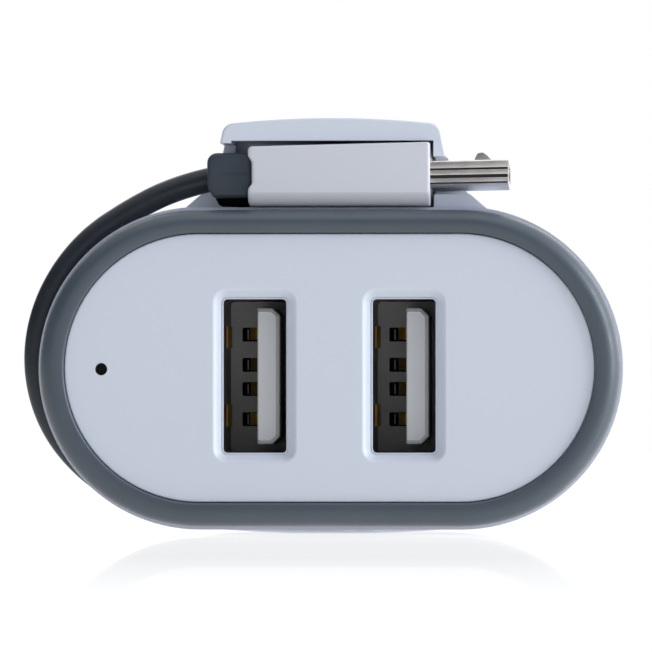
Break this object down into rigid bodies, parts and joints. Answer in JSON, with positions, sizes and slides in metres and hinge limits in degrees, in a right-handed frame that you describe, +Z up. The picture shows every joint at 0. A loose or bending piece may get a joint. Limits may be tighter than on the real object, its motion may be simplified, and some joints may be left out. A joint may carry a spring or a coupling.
{
  "type": "usb wall charger",
  "caption": "Oblong wall charger with upright USB-A ports in a bumper-edged face, folding mains blades, and a captive micro-USB cable docked on top.",
  "frame": {"origin": "on the standing surface, under the middle of the case (bottom centre of the case's box, without the cable and its plug)", "axes": "+X to the right seen from the port face, -Y out of the port face, +Y into the wall outlet, +Z up"},
  "size_m": [0.0489, 0.042, 0.0339],
  "materials": {
    "white_gloss": "glossy moulded, faint grain",
    "white_case": "satin moulded",
    "grey_bumper": "satin soft-touch",
    "grey_jacket": "satin extruded jacket",
    "grey_collar": "satin overmould with a mould line",
    "nickel_shell": "nickel-plated, faint drawn grain",
    "grey_insulator": "moulded",
    "black_insulator": "moulded",
    "gold_contact": "gold-flashed",
    "blade_brass": "nickel-plated brass, drawn",
    "spring_bronze": "phosphor bronze",
    "smoked_lens": "smoked clear",
    "led_body": "moulded",
    "board_green": "solder resist",
    "ferrite": "sintered",
    "bobbin_black": "phenolic",
    "winding_tape": "copper winding under yellow tape",
    "capacitor_can": "printed sleeve over an aluminium can",
    "safety_blue": "dipped epoxy",
    "fuse_sleeve": "sleeved",
    "choke_wire": "enamelled copper on a drum",
    "chip_black": "moulded epoxy",
    "barrier_sheet": "aramid sheet",
    "lead_insulation": "insulated wire"
  },
  "bodies": {
    "charger": {"bezel_ring": "grey_bumper", "blade_contacts": "spring_bronze", "bridge_rectifier": "chip_black", "cable_gland": "grey_jacket", "cable_leads": "lead_insulation", "cable_wrap": "grey_jacket", "charge_controller": "chip_black", "dock_hood": "white_gloss", "front_housing": "white_case", "front_plate": "white_gloss", "fuse": "fuse_sleeve", "input_capacitors": "capacitor_can", "insulation_barrier": "barrier_sheet", "led_light_pipe": "smoked_lens", "line_choke": "choke_wire", "main_board": "board_green", "optocoupler": "chip_black", "output_capacitors": "capacitor_can", "prong_detent_spring": "spring_bronze", "rear_cover": "white_case", "safety_capacitor": "safety_blue", "status_led": "led_body", "switching_transistor": "chip_black", "transformer_bobbin": "bobbin_black", "transformer_core": "ferrite", "transformer_winding": "winding_tape", "usb_board": "board_green", "usb_contacts_left": "gold_contact", "usb_contacts_right": "gold_contact", "usb_insulator_left": "grey_insulator", "usb_insulator_right": "grey_insulator", "usb_shell_left": "nickel_shell", "usb_shell_right": "nickel_shell"},
    "prongs": {"prong_barrel": "black_insulator", "prong_left": "blade_brass", "prong_right": "blade_brass"},
    "cable_plug": {"cable_tail": "grey_jacket", "plug_collar": "grey_collar", "plug_housing": "white_gloss", "plug_shell": "nickel_shell", "plug_tongue": "black_insulator", "plug_contacts": "gold_contact", "plug_latches": "nickel_shell"}
  },
  "joints": [
    {"name": "prong_fold", "type": "hinge", "parent": "charger", "child": "prongs", "pos_m": [0, 0.0176, 0.0216], "axis": [1, 0, 0], "range_deg": [0, 90]},
    {"name": "plug_undock", "type": "slide", "parent": "charger", "child": "cable_plug", "axis": [0, -1, 0], "range_m": [0, 0.01], "deforming": ["cable_tail"]}
  ]
}
